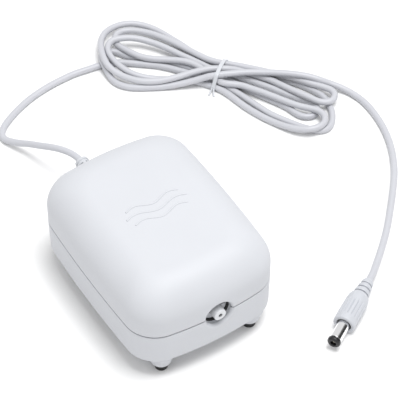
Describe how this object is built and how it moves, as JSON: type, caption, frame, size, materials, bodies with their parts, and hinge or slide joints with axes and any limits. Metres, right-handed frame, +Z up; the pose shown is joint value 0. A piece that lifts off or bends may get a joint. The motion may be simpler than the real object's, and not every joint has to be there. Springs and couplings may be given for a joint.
{
  "type": "aquarium air pump",
  "caption": "Low-voltage aquarium air pump: domed plastic case on rubber feet, recessed air nozzle, and a tied hank of thin cord ending in a barrel plug.",
  "frame": {"origin": "on the floor under the middle of the casing", "axes": "+Z up; -Y towards the air outlet; +Y towards the cord; +X to the right when facing along +Y"},
  "size_m": [0.1786, 0.2224, 0.052],
  "materials": {
    "casing": "fine matt moulded",
    "foot_rubber": "matt",
    "white_plastic": "smooth",
    "gland_plastic": "matt",
    "cord_jacket": "satin",
    "tie_plastic": "smooth",
    "plug_grip": "satin moulded",
    "plug_metal": "nickel plated",
    "black_plastic": "moulded",
    "contact_metal": "tin plated",
    "inner_plastic": "moulded",
    "black_rubber": "matt",
    "hose_rubber": "satin",
    "filter_felt": "felted",
    "screw_steel": "zinc plated",
    "bracket_steel": "zinc plated",
    "yoke_steel": "plated",
    "ferrite": "sintered",
    "bronze": "sintered",
    "lamination": "stamped",
    "bobbin_nylon": "moulded",
    "copper": "enamelled copper wire",
    "tape": "polyester film",
    "board": "solder masked",
    "capacitor_sleeve": "shrink sleeve",
    "chip_epoxy": "moulded",
    "connector": "moulded",
    "red_wire": "smooth",
    "blue_wire": "smooth"
  },
  "bodies": {
    "housing": {"base_shell": "casing", "top_cover": "casing", "case_screws": "screw_steel", "front_left_foot": "foot_rubber", "front_right_foot": "foot_rubber", "rear_left_foot": "foot_rubber", "rear_right_foot": "foot_rubber", "filter_cap": "inner_plastic", "filter_pad": "filter_felt", "outlet_nozzle": "white_plastic", "outlet_hose": "hose_rubber", "valve_block": "inner_plastic", "valve_gasket": "black_rubber", "valve_cover": "inner_plastic", "valve_screws": "screw_steel", "block_screws": "screw_steel", "flap_retainers": "inner_plastic", "diaphragm": "black_rubber", "pivot_bracket": "bracket_steel", "pivot_pin": "screw_steel", "bracket_screws": "screw_steel", "core_stack": "lamination", "coil_bobbin": "bobbin_nylon", "coil_winding": "copper", "coil_tape": "tape", "core_strap": "bracket_steel", "core_screws": "screw_steel", "driver_board": "board", "board_screws": "screw_steel", "board_capacitor": "capacitor_sleeve", "driver_chip": "chip_epoxy", "power_transistors": "chip_epoxy", "board_inductor": "black_plastic", "board_diode": "chip_epoxy", "board_resistors": "chip_epoxy", "cord_connector": "connector", "coil_connector": "connector", "cord_leads": "red_wire", "coil_leads": "blue_wire", "cord_gland": "gland_plastic", "power_cord_lead": "cord_jacket", "cord_hank": "cord_jacket", "power_cord_out": "cord_jacket", "cord_tie": "tie_plastic", "plug_overmold": "plug_grip", "plug_barrel": "plug_metal", "plug_insulator": "black_plastic", "plug_contact": "contact_metal"},
    "arm": {"swing_arm": "black_plastic", "arm_bush": "bronze", "magnet_yoke": "yoke_steel", "magnets": "ferrite", "diaphragm_clamp": "bracket_steel", "diaphragm_screw": "screw_steel"},
    "inlet_valve": {"inlet_flap": "black_rubber"},
    "outlet_valve": {"outlet_flap": "black_rubber"}
  },
  "joints": [
    {"name": "arm_swing", "type": "hinge", "parent": "housing", "child": "arm", "pos_m": [0, -0.024, 0.029], "axis": [0, 0, 1], "range_deg": [-2.5, 2.5], "stiffness_Nm_per_rad": 0.3, "deforming": ["diaphragm"]},
    {"name": "inlet_flap_lift", "type": "hinge", "parent": "housing", "child": "inlet_valve", "pos_m": [-0.01565, -0.0116, 0.029], "axis": [0, 0, -1], "range_deg": [0, 18], "stiffness_Nm_per_rad": 0.00005},
    {"name": "outlet_flap_lift", "type": "hinge", "parent": "housing", "child": "outlet_valve", "pos_m": [-0.01935, 0.003, 0.029], "axis": [0, 0, -1], "range_deg": [0, 18], "stiffness_Nm_per_rad": 0.00005}
  ]
}
